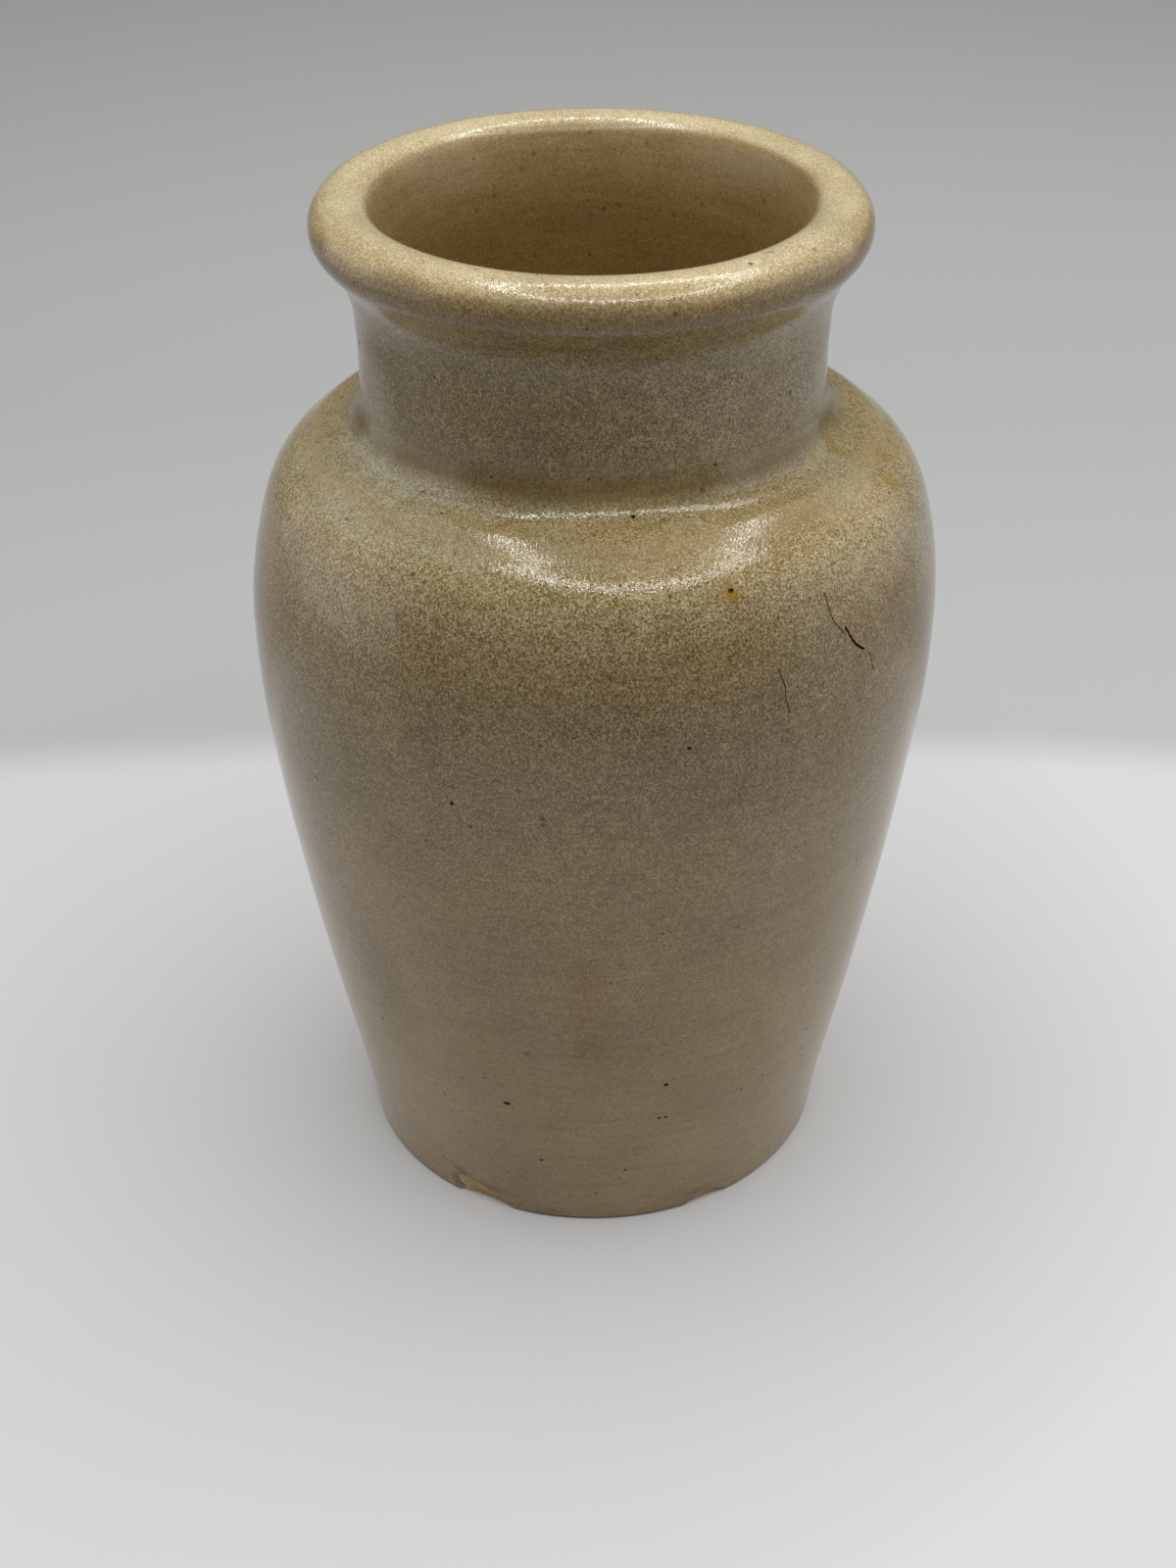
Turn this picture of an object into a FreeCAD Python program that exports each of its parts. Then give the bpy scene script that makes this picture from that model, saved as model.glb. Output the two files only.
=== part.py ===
import FreeCAD, Part
import math
import os
import Sketcher

# Stoneware cream pot, millimetres, +Z up, origin at the centre of the foot, on the surface it stands on.
# It is one thrown clay body, which carries two bonded coats of glaze: a lining poured inside and
# a coat dipped outside and over the rim. Nothing on it moves.
# All outline sizes are of the glazed surface, and the clay lies one glaze thickness behind it.
# Neck, shoulder and belly are measured down from the top of the rim, and the foot up from the ground,
# so a taller or shorter pot takes up the change in its lower wall. Rim, mouth and bore are measured
# out and in from the waist of the neck.

doc = FreeCAD.newDocument("StonewareCreamPot")

driving_sizes = [
    ("pot_height", 100.0, "foot to the top of the rim"),
    ("foot_top_radius", 25.6, "radius where the flared foot runs into the wall"),
    ("foot_top_height", 10.0, "height where the flared foot runs into the wall"),
    ("foot_flare_curve", 130.0, "hollow curve of the flared foot"),
    ("foot_round", 0.4, "worn edge of the bare foot"),
    ("foot_ring_width", 4.5, "flat ring that the pot stands on"),
    ("foot_recess_depth", 1.2, "dished underside, above the foot ring"),
    ("foot_recess_run", 3.0, "width of the slope from the foot ring up into the dish"),
    ("glaze_line", 0.4, "height where the outside glaze ends above the bare foot"),
    ("wall_curve", 460.0, "long curve of the lower wall"),
    ("belly_radius", 32.6, "widest radius"),
    ("belly_depth", 40.0, "depth of the widest place below the top of the rim"),
    ("belly_lower_curve", 96.0, "curve below the widest place"),
    ("belly_upper_curve", 38.5, "curve above the widest place"),
    ("shoulder_curve", 10.0, "turn of the shoulder"),
    ("shoulder_slope", 37.0, "slope of the shoulder ledge below the neck, degrees"),
    ("neck_root_depth", 18.8, "depth where the ledge would meet the neck, below the top of the rim"),
    ("neck_root_round", 2.0, "hollow round between ledge and neck"),
    ("neck_radius", 21.25, "waist of the neck"),
    ("neck_waist_depth", 15.5, "depth of the waist below the top of the rim"),
    ("neck_waist_curve", 100.0, "hollow curve of the neck"),
    ("neck_wall", 3.45, "wall from the waist in to the straight bore, with its glaze"),
    ("rim_under_round", 10.0, "hollow round below the rolled rim"),
    ("rim_overhang", 3.55, "reach of the rolled rim past the waist"),
    ("rim_width", 5.3, "rim from its outside to the edge of the mouth"),
    ("rim_roll", 2.7, "outer roll of the rim"),
    ("rim_crown", 4.5, "flatter inner half of the rim's top"),
    ("lip_round", 1.0, "round at the inner edge of the rim"),
    ("mouth_depth", 9.0, "depth of the opened mouth, down to the straight bore"),
    ("bore_round", 3.0, "round where the bore opens into the belly"),
    ("wall_thickness", 4.5, "belly and shoulder wall, with its glaze"),
    ("floor_thickness", 7.0, "inside floor above the foot ring"),
    ("floor_round", 8.0, "hollow round between floor and wall"),
    ("glaze_thickness", 0.4, "each coat of glaze"),
]

sheet = doc.addObject("Spreadsheet::Sheet", "Sizes")
size = {}
for row, (alias, value, meaning) in enumerate(driving_sizes, start=1):
    sheet.set(f"A{row}", meaning)
    sheet.set(f"B{row}", str(value))
    sheet.setAlias(f"B{row}", alias)
    size[alias] = value
doc.recompute()


def at(radius, height):
    return FreeCAD.Vector(radius, height, 0)


class Curve:
    """An arc of the section. Round clay has its centre inside the clay, a hollow outside it.

    A curve across the wall is the inside's copy of an outside one, a wall thickness behind it.
    """

    def __init__(self, name, centre, radius, hollow=False, across_wall=False):
        self.name = name
        self.centre = centre
        self.radius = radius - size["wall_thickness"] if across_wall else radius
        self.hollow = hollow or across_wall
        self.across_wall = across_wall

    def radius_at(self, depth):
        return self.radius + depth if self.hollow else self.radius - depth

    def touch(self, other, depth):
        if isinstance(other, Straight):
            return other.touch(self, depth)
        along = (other.centre - self.centre).normalize()
        sides = [self.centre + along * self.radius_at(depth), self.centre - along * self.radius_at(depth)]
        return min(sides, key=lambda p: abs(p.distanceToPoint(other.centre) - other.radius_at(depth)))


class Straight:
    """A straight of the section through a point, with the clay on the left of its direction."""

    def __init__(self, name, point, direction):
        self.name = name
        self.point = point
        self.direction = direction.normalize()

    def shifted(self, depth):
        left = FreeCAD.Vector(-self.direction.y, self.direction.x, 0)
        return self.point + left * depth

    def touch(self, curve, depth):
        start = self.shifted(depth)
        return start + self.direction * (curve.centre - start).dot(self.direction)


# Heights of the upper pot, from the top of the rim down, and radii from the waist of the neck
belly_height = size["pot_height"] - size["belly_depth"]
root_height = size["pot_height"] - size["neck_root_depth"]
waist_height = size["pot_height"] - size["neck_waist_depth"]
bore_top = size["pot_height"] - size["mouth_depth"]
rim_radius = size["neck_radius"] + size["rim_overhang"]
mouth_radius = rim_radius - size["rim_width"]
bore_radius = size["neck_radius"] - size["neck_wall"]

# Centres of the curves, each from the sizes alone
belly_centre = at(size["belly_radius"] - size["belly_lower_curve"], belly_height)
upper_centre = at(size["belly_radius"] - size["belly_upper_curve"], belly_height)
waist_centre = at(size["neck_radius"] + size["neck_waist_curve"], waist_height)
roll_centre = at(rim_radius - size["rim_roll"], size["pot_height"] - size["rim_roll"])
crown_centre = at(roll_centre.x, size["pot_height"] - size["rim_crown"])
foot_top = at(size["foot_top_radius"], size["foot_top_height"])
neck_root = at(size["neck_radius"], root_height)
slope_angle = math.radians(size["shoulder_slope"])
slope_direction = at(-math.cos(slope_angle), math.sin(slope_angle))
slope_normal = at(math.sin(slope_angle), math.cos(slope_angle))


def meeting(first, first_reach, second, second_reach, side):
    """Point at given distances from two points, on the left (+1) or right (-1) of the way between."""
    gap = second - first
    span = gap.Length
    along = (first_reach ** 2 - second_reach ** 2 + span ** 2) / (2 * span)
    across = math.sqrt(first_reach ** 2 - along ** 2)
    way = gap * (1 / span)
    return first + way * along + at(-way.y, way.x) * (across * side)


def beside_slope(round_radius, reach_centre, reach, way):
    """Centre of a round that touches the ledge's line and lies at a reach from another centre."""
    start = neck_root + slope_normal * round_radius
    back = start - reach_centre
    half = back.dot(slope_direction)
    run = math.sqrt(half ** 2 - back.dot(back) + reach ** 2)
    return start + slope_direction * (way * run - half)


# The wall's long curve touches the belly's and passes through the top of the foot
wall_centre = meeting(belly_centre, size["wall_curve"] - size["belly_lower_curve"],
                      foot_top, size["wall_curve"], -1)
flare_centre = foot_top + (foot_top - wall_centre) * (size["foot_flare_curve"] / size["wall_curve"])
shoulder_centre = beside_slope(-size["shoulder_curve"], upper_centre,
                               size["belly_upper_curve"] - size["shoulder_curve"], -1)
root_centre = beside_slope(size["neck_root_round"], waist_centre,
                           size["neck_waist_curve"] - size["neck_root_round"], 1)
under_centre = meeting(waist_centre, size["neck_waist_curve"] - size["rim_under_round"],
                       roll_centre, size["rim_under_round"] + size["rim_roll"], 1)
lip_across = roll_centre.x - mouth_radius - size["lip_round"]
lip_up = math.sqrt((size["rim_crown"] - size["lip_round"]) ** 2 - lip_across ** 2)
lip_centre = at(crown_centre.x - lip_across, crown_centre.y + lip_up)

# The mouth opens from the bore in one curve, level with the bore's top, that touches the lip
lip_reach = lip_centre.x - bore_radius
lip_rise = lip_centre.y - bore_top
lip_clear = lip_reach - size["lip_round"]
mouth_curve = (lip_reach ** 2 + lip_rise ** 2 - size["lip_round"] ** 2) / (2 * lip_clear)
mouth_centre = at(bore_radius + mouth_curve, bore_top)

# Outside, from the foot up and over the rim to the top of the bore
outside = [
    Curve("foot_flare_curve", flare_centre, size["foot_flare_curve"], hollow=True),
    Curve("wall_curve", wall_centre, size["wall_curve"]),
    Curve("belly_lower_curve", belly_centre, size["belly_lower_curve"]),
    Curve("belly_upper_curve", upper_centre, size["belly_upper_curve"]),
    Curve("shoulder_curve", shoulder_centre, size["shoulder_curve"]),
    Straight("ledge", neck_root, slope_direction),
    Curve("neck_root_round", root_centre, size["neck_root_round"], hollow=True),
    Curve("neck_waist_curve", waist_centre, size["neck_waist_curve"], hollow=True),
    Curve("rim_under_round", under_centre, size["rim_under_round"], hollow=True),
    Curve("rim_roll", roll_centre, size["rim_roll"]),
    Curve("rim_crown", crown_centre, size["rim_crown"]),
    Curve("lip_round", lip_centre, size["lip_round"]),
    Curve("mouth", mouth_centre, mouth_curve),
]

# Inside, from the top of the bore down to the floor, concentric with the outside over the belly
wall = size["wall_thickness"]
glaze = size["glaze_thickness"]
ceiling_point = neck_root - slope_normal * wall
floor_centre_height = size["floor_thickness"] + size["floor_round"]
floor_reach = size["wall_curve"] - wall - size["floor_round"]
floor_centre = at(wall_centre.x + math.sqrt(floor_reach ** 2 - (wall_centre.y - floor_centre_height) ** 2),
                  floor_centre_height)
above_ceiling = ceiling_point + slope_normal * size["bore_round"]
bore_round_radius = bore_radius + size["bore_round"]
bore_round_centre = at(bore_round_radius,
                       above_ceiling.y - (bore_round_radius - above_ceiling.x) * math.tan(slope_angle))
inside = [
    Straight("bore", at(bore_radius, bore_top), at(0, -1)),
    Curve("bore_round", bore_round_centre, size["bore_round"]),
    Straight("ceiling", ceiling_point, slope_direction * -1),
    Curve("shoulder_curve", shoulder_centre, size["shoulder_curve"], across_wall=True),
    Curve("belly_upper_curve", upper_centre, size["belly_upper_curve"], across_wall=True),
    Curve("belly_lower_curve", belly_centre, size["belly_lower_curve"], across_wall=True),
    Curve("wall_curve", wall_centre, size["wall_curve"], across_wall=True),
    Curve("floor_round", floor_centre, size["floor_round"], hollow=True),
    Straight("floor", at(0, size["floor_thickness"]), at(-1, 0)),
]

# The underside is bare clay: a flat ring to stand on, and a shallow dish inside it
foot_round = size["foot_round"]
foot_reach = size["foot_flare_curve"] + glaze + foot_round
foot_rise = flare_centre.y - foot_round
foot_round_centre = at(flare_centre.x - math.sqrt(foot_reach ** 2 - foot_rise ** 2), foot_round)
foot_edge = Curve("foot_round", foot_round_centre, foot_round)
ring_inside = foot_round_centre.x - size["foot_ring_width"]


class Section:
    """A closed sketch in the upright plane of its own body, to be turned about the pot's axis."""

    def __init__(self, body, name):
        self.sketch = body.newObject("Sketcher::SketchObject", name)
        upright = [plane for plane in body.Origin.OriginFeatures if plane.Role == "XZ_Plane"][0]
        self.sketch.AttachmentSupport = [(upright, "")]
        self.sketch.MapMode = "FlatFace"
        self.axis = -2
        self.ground = -1
        self.foot_top = self.guide_point("foot_top", foot_top,
                                         "Sizes.foot_top_radius", "Sizes.foot_top_height")
        self.neck_root = self.guide_point("neck_root", neck_root,
                                          "Sizes.neck_radius", "Sizes.pot_height - Sizes.neck_root_depth")

    def fix(self, *terms):
        return self.sketch.addConstraint(Sketcher.Constraint(*terms))

    def bind(self, name, expression, *terms):
        index = self.fix(*terms)
        self.sketch.renameConstraint(index, name)
        self.sketch.setExpression(f"Constraints.{name}", expression)

    def guide_point(self, name, place, radius_terms, height_terms):
        index = self.sketch.addGeometry(Part.Point(place), True)
        self.bind(f"{name}_radius", radius_terms, "DistanceX", index, 1, place.x)
        self.bind(f"{name}_height", height_terms, "DistanceY", index, 1, place.y)
        return index

    def line(self, start, end, guide=False):
        return self.sketch.addGeometry(Part.LineSegment(start, end), guide), 1, 2

    def arc(self, curve, depth, start, end):
        """An arc in the run's direction: anticlockwise round the clay, clockwise in a hollow."""
        first, last = (end, start) if curve.hollow else (start, end)
        turn = [math.atan2(p.y - curve.centre.y, p.x - curve.centre.x) for p in (first, last)]
        if turn[1] < turn[0]:
            turn[1] += 2 * math.pi
        circle = Part.Circle(curve.centre, FreeCAD.Vector(0, 0, 1), curve.radius_at(depth))
        index = self.sketch.addGeometry(Part.ArcOfCircle(circle, turn[0], turn[1]), False)
        return (index, 2, 1) if curve.hollow else (index, 1, 2)

    def radius(self, label, edge, curve, depth):
        sign = "+" if curve.hollow else "-"
        thickness = " - Sizes.wall_thickness" if curve.across_wall else ""
        glaze = f" {sign} Sizes.glaze_thickness" if depth else ""
        self.bind(f"{label}_{curve.name}", f"Sizes.{curve.name}{thickness}{glaze}",
                  "Radius", edge[0], curve.radius_at(depth))

    def run(self, label, pieces, depth, start, end):
        """Adds a run of touching curves and straights, and ties each to the next."""
        joints = [a.touch(b, depth) for a, b in zip(pieces, pieces[1:])]
        edges = {}
        for piece, first, last in zip(pieces, [start] + joints, joints + [end]):
            if isinstance(piece, Straight):
                edges[piece.name] = self.line(first, last)
            else:
                edges[piece.name] = self.arc(piece, depth, first, last)
                if piece.name != "mouth":
                    self.radius(label, edges[piece.name], piece, depth)
        names = [piece.name for piece in pieces]
        for a, b in zip(names, names[1:]):
            if (a, b) == ("mouth", "bore"):
                self.join(edges[a], edges[b])
            else:
                self.fix("Tangent", edges[a][0], edges[a][2], edges[b][0], edges[b][1])
        return edges

    def join(self, before, after):
        self.fix("Coincident", before[0], before[2], after[0], after[1])

    def centre(self, label, edge, place, radius_terms, height_terms):
        """Ties an arc's centre to a radius from the axis and a height."""
        self.bind(f"{label}_centre_radius", radius_terms, "DistanceX", edge[0], 3, place.x)
        self.bind(f"{label}_centre_height", height_terms, "DistanceY", edge[0], 3, place.y)

    def place_belly(self, label, edges, joint_end):
        """The curves meet at the widest height, and the wall's curve passes by the foot's top."""
        upper = edges["belly_upper_curve"]
        wall_edge = edges["wall_curve"]
        self.centre(f"{label}_upper", upper, upper_centre,
                    "Sizes.belly_radius - Sizes.belly_upper_curve", "Sizes.pot_height - Sizes.belly_depth")
        self.fix("Horizontal", upper[0], 3, upper[0], upper[joint_end])
        self.bind(f"{label}_wall_reach", "Sizes.wall_curve",
                  "Distance", wall_edge[0], 3, self.foot_top, 1, size["wall_curve"])

    def place_outside(self, label, edges, depth):
        glaze = " + Sizes.glaze_thickness" if depth else ""
        self.place_belly(label, edges, 1)
        radial = self.line(wall_centre, flare_centre, guide=True)
        self.fix("Coincident", radial[0], 1, edges["wall_curve"][0], 3)
        self.fix("Coincident", radial[0], 2, edges["foot_flare_curve"][0], 3)
        self.fix("PointOnObject", self.foot_top, 1, radial[0])
        self.bind(f"{label}_slope", "180 deg - Sizes.shoulder_slope * 1 deg",
                  "Angle", edges["ledge"][0], math.pi - slope_angle)
        if depth:
            self.bind(f"{label}_ledge_depth", "Sizes.glaze_thickness",
                      "Distance", self.neck_root, 1, edges["ledge"][0], depth)
        else:
            self.fix("PointOnObject", self.neck_root, 1, edges["ledge"][0])
        self.centre(f"{label}_waist", edges["neck_waist_curve"], waist_centre,
                    "Sizes.neck_radius + Sizes.neck_waist_curve",
                    "Sizes.pot_height - Sizes.neck_waist_depth")
        roll = edges["rim_roll"]
        self.centre(f"{label}_roll", roll, roll_centre,
                    "Sizes.neck_radius + Sizes.rim_overhang - Sizes.rim_roll",
                    "Sizes.pot_height - Sizes.rim_roll")
        self.fix("Vertical", roll[0], 3, roll[0], roll[2])
        self.bind(f"{label}_lip_centre",
                  "Sizes.neck_radius + Sizes.rim_overhang - Sizes.rim_width + Sizes.lip_round",
                  "DistanceX", edges["lip_round"][0], 3, lip_centre.x)
        mouth = edges["mouth"]
        self.bind(f"{label}_mouth_height", "Sizes.pot_height - Sizes.mouth_depth",
                  "DistanceY", mouth[0], 3, bore_top)
        self.fix("Horizontal", mouth[0], 3, mouth[0], mouth[2])
        self.bind(f"{label}_mouth_bottom", f"Sizes.neck_radius - Sizes.neck_wall{glaze}",
                  "DistanceX", mouth[0], mouth[2], bore_radius + depth)

    def place_inside(self, label, edges, depth):
        glaze = " - Sizes.glaze_thickness" if depth else ""
        self.fix("Vertical", edges["bore"][0])
        self.bind(f"{label}_slope", "-Sizes.shoulder_slope * 1 deg",
                  "Angle", edges["ceiling"][0], -slope_angle)
        self.bind(f"{label}_ceiling_depth", f"Sizes.wall_thickness{glaze}",
                  "Distance", self.neck_root, 1, edges["ceiling"][0], wall - depth)
        self.place_belly(label, edges, 2)
        floor = edges["floor"]
        self.fix("Horizontal", floor[0])
        self.fix("PointOnObject", floor[0], floor[2], self.axis)
        self.bind(f"{label}_floor_height", f"Sizes.floor_thickness{glaze}",
                  "DistanceY", floor[0], floor[2], size["floor_thickness"] - depth)

    def turn(self, body, name):
        revolution = body.newObject("PartDesign::Revolution", name)
        revolution.Profile = self.sketch
        revolution.ReferenceAxis = (self.sketch, ["V_Axis"])
        revolution.Angle = 360
        self.sketch.Visibility = False


def new_body(label):
    body = doc.addObject("PartDesign::Body", label)
    body.Label = label
    return body


def stoneware_body():
    """The thrown clay: wall, rolled rim, floor and bare foot in one section."""
    body = new_body("stoneware_body")
    section = Section(body, "clay_section")
    foot_joint = foot_round_centre + (flare_centre - foot_round_centre).normalize() * foot_round
    outer = section.run("outside", outside, glaze, foot_joint, at(bore_radius + glaze, bore_top))
    section.place_outside("outside", outer, glaze)
    inner = section.run("inside", inside, glaze, at(bore_radius + glaze, bore_top),
                        at(0, size["floor_thickness"] - glaze))
    section.place_inside("inside", inner, glaze)
    section.join(outer["mouth"], inner["bore"])

    dish_top = at(0, size["foot_recess_depth"])
    dish_edge = at(ring_inside - size["foot_recess_run"], size["foot_recess_depth"])
    axis_line = section.line(at(0, size["floor_thickness"] - glaze), dish_top)
    dish = section.line(dish_top, dish_edge)
    slope = section.line(dish_edge, at(ring_inside, 0))
    ring = section.line(at(ring_inside, 0), at(foot_round_centre.x, 0))
    edge = section.arc(foot_edge, 0, at(foot_round_centre.x, 0), foot_joint)
    section.radius("bare", edge, foot_edge, 0)
    for before, after in [(inner["floor"], axis_line), (axis_line, dish), (dish, slope), (slope, ring)]:
        section.join(before, after)
    section.fix("PointOnObject", axis_line[0], 2, section.axis)
    section.fix("Horizontal", dish[0])
    section.bind("dish_height", "Sizes.foot_recess_depth", "DistanceY", dish[0], 1, dish_top.y)
    section.bind("dish_slope_run", "Sizes.foot_recess_run",
                 "DistanceX", slope[0], 1, slope[0], 2, size["foot_recess_run"])
    section.fix("PointOnObject", ring[0], 1, section.ground)
    section.fix("PointOnObject", ring[0], 2, section.ground)
    section.bind("ring_width", "Sizes.foot_ring_width",
                 "DistanceX", ring[0], 1, ring[0], 2, size["foot_ring_width"])
    section.fix("Tangent", ring[0], 2, edge[0], edge[1])
    section.fix("Tangent", edge[0], edge[2], outer["foot_flare_curve"][0], outer["foot_flare_curve"][1])
    section.turn(body, "thrown_form")
    return body


def on_flare(height, depth):
    """Point of the flared foot's surface at a height, at a depth behind the glaze."""
    reach = size["foot_flare_curve"] + depth
    return at(flare_centre.x - math.sqrt(reach ** 2 - (height - flare_centre.y) ** 2), height)


def outside_glaze():
    """The dipped coat: from the wiped line above the foot, over the rim, to the top of the bore."""
    body = new_body("outside_glaze")
    section = Section(body, "dipped_coat_section")
    sides = {}
    for label, depth in [("face", 0), ("back", glaze)]:
        bottom = on_flare(size["glaze_line"], depth)
        sides[label] = section.run(label, outside, depth, bottom, at(bore_radius + depth, bore_top))
        section.place_outside(label, sides[label], depth)
        flare = sides[label]["foot_flare_curve"]
        section.bind(f"{label}_bottom", "Sizes.glaze_line", "DistanceY", flare[0], flare[1], bottom.y)
    face, back = sides["face"], sides["back"]
    lower_edge = section.line(on_flare(size["glaze_line"], glaze), on_flare(size["glaze_line"], 0))
    section.fix("Coincident", lower_edge[0], 1, back["foot_flare_curve"][0], back["foot_flare_curve"][1])
    section.fix("Coincident", lower_edge[0], 2, face["foot_flare_curve"][0], face["foot_flare_curve"][1])
    upper_edge = section.line(at(bore_radius, bore_top), at(bore_radius + glaze, bore_top))
    section.fix("Coincident", upper_edge[0], 1, face["mouth"][0], face["mouth"][2])
    section.fix("Coincident", upper_edge[0], 2, back["mouth"][0], back["mouth"][2])
    section.turn(body, "dipped_coat")
    return body


def lining_glaze():
    """The poured coat: from the top of the bore down the inside and over the floor."""
    body = new_body("lining_glaze")
    section = Section(body, "poured_coat_section")
    sides = {}
    for label, depth in [("face", 0), ("back", glaze)]:
        top = at(bore_radius + depth, bore_top)
        sides[label] = section.run(label, inside, depth, top, at(0, size["floor_thickness"] - depth))
        section.place_inside(label, sides[label], depth)
        bore = sides[label]["bore"]
        shift = " + Sizes.glaze_thickness" if depth else ""
        section.bind(f"{label}_bore", f"Sizes.neck_radius - Sizes.neck_wall{shift}",
                     "DistanceX", bore[0], 1, top.x)
        section.bind(f"{label}_top", "Sizes.pot_height - Sizes.mouth_depth",
                     "DistanceY", bore[0], 1, top.y)
    face, back = sides["face"], sides["back"]
    upper_edge = section.line(at(bore_radius, bore_top), at(bore_radius + glaze, bore_top))
    section.fix("Coincident", upper_edge[0], 1, face["bore"][0], 1)
    section.fix("Coincident", upper_edge[0], 2, back["bore"][0], 1)
    axis_line = section.line(at(0, size["floor_thickness"]), at(0, size["floor_thickness"] - glaze))
    section.fix("Coincident", axis_line[0], 1, face["floor"][0], 2)
    section.fix("Coincident", axis_line[0], 2, back["floor"][0], 2)
    section.turn(body, "poured_coat")
    return body


bodies = [stoneware_body(), outside_glaze(), lining_glaze()]
doc.recompute()

for item in doc.Objects:
    if "Invalid" in item.State or "Error" in item.State:
        raise RuntimeError(f"{item.Name} failed: {item.State}")

os.makedirs("parts", exist_ok=True)
for body in bodies:
    shape = body.Shape
    if shape.isNull() or not shape.isValid() or len(shape.Solids) != 1:
        raise RuntimeError(f"{body.Label} has no single valid solid")
    print(body.Label, f"{shape.Volume / 1000:.2f} ml, surface {shape.Area / 100:.1f} square cm")
    shape.exportStep(os.path.join("parts", f"{body.Label}.step"))
bore_bottom = inside[0].touch(inside[1], 0).y
print(f"straight bore: radius {bore_radius}, from {bore_bottom:.2f} to {bore_top:.2f}")
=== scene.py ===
import math

import bmesh
import bpy
from mathutils import Matrix, Vector, geometry, noise
from mathutils.bvhtree import BVHTree


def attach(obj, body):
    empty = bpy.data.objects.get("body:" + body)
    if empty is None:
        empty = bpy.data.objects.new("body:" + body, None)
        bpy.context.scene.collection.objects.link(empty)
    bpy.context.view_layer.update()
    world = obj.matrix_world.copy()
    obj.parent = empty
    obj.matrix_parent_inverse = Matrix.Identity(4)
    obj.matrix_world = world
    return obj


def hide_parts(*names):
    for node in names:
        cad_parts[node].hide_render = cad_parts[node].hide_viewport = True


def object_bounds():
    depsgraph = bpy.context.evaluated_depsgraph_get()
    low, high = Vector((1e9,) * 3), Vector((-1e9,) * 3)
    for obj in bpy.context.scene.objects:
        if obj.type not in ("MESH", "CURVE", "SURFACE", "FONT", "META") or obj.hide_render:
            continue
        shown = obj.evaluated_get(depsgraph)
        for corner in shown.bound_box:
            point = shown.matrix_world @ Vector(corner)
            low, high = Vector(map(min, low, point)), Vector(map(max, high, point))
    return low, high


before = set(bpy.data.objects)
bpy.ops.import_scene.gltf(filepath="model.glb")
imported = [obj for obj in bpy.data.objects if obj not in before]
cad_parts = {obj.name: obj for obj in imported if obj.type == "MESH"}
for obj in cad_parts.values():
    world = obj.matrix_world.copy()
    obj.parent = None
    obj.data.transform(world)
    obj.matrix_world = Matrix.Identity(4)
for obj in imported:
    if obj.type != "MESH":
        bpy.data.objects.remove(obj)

# Stoneware cream pot. Sizes in the dictionaries are millimetres and degrees; azimuth 0 faces the
# camera and grows towards +X. Meshes are in metres.
mm = 0.001
cadLow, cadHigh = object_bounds()
potHeight = (cadHigh.z - cadLow.z) / mm
bellyRadius = cadHigh.x / mm
print("frame loaded, pot", round(potHeight, 1), "mm tall")


def smooth(low, high, value):
    share = min(1, max(0, (value - low) / (high - low)))
    return share * share * (3 - 2 * share)


# Value of a run of stops {place: value} at a place, eased from stop to stop
def eased(stops, place):
    places = sorted(stops)
    if place <= places[0]:
        return stops[places[0]]
    for low, high in zip(places, places[1:]):
        if place < high:
            return stops[low] + (stops[high] - stops[low]) * smooth(low, high, place)
    return stops[places[-1]]


# Section of the turned clay

# Half of a CAD node's section, cut from a merged copy of its mesh: runs of points in millimetres,
# radius as x and height as z, split at the section's sharp corners
def sectionRuns(nodeName, cornerTurn=30):
    bm = bmesh.new()
    bm.from_mesh(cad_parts[nodeName].data)
    bmesh.ops.remove_doubles(bm, verts=bm.verts, dist=1e-6)
    everything = bm.verts[:] + bm.edges[:] + bm.faces[:]
    bmesh.ops.bisect_plane(bm, geom=everything, dist=2e-6, plane_co=(0, 0, 0), plane_no=(0, 1, 0),
                           clear_inner=True, clear_outer=True)
    bmesh.ops.delete(bm, geom=[v for v in bm.verts if v.co.x < -1e-6], context="VERTS")
    bmesh.ops.remove_doubles(bm, verts=bm.verts, dist=2e-5)
    here = min(bm.verts, key=lambda v: (len(v.link_edges), v.co.z))
    closed = len(here.link_edges) == 2
    first, before, walked = here, None, [here]
    while True:
        onward = [e.other_vert(here) for e in here.link_edges if e.other_vert(here) is not before]
        if not onward or onward[0] is first:
            break
        before, here = here, onward[0]
        walked.append(here)
    points = [Vector((max(0, v.co.x), 0, v.co.z)) / mm for v in walked]
    bm.free()
    if closed:
        points.append(points[0])
    else:
        ends = [Vector((0, 0, p.z)) for p in (points[0], points[-1])]
        points = [ends[0]] * (points[0].x > 0.01) + points + [ends[1]] * (points[-1].x > 0.01)
    runs, run = [], [points[0]]
    for last, point, following in zip(points, points[1:], points[2:] + [None]):
        run.append(point)
        if following is None or (point - last).angle(following - point) > math.radians(cornerTurn):
            runs.append(run)
            run = [point]
    return runs


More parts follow.
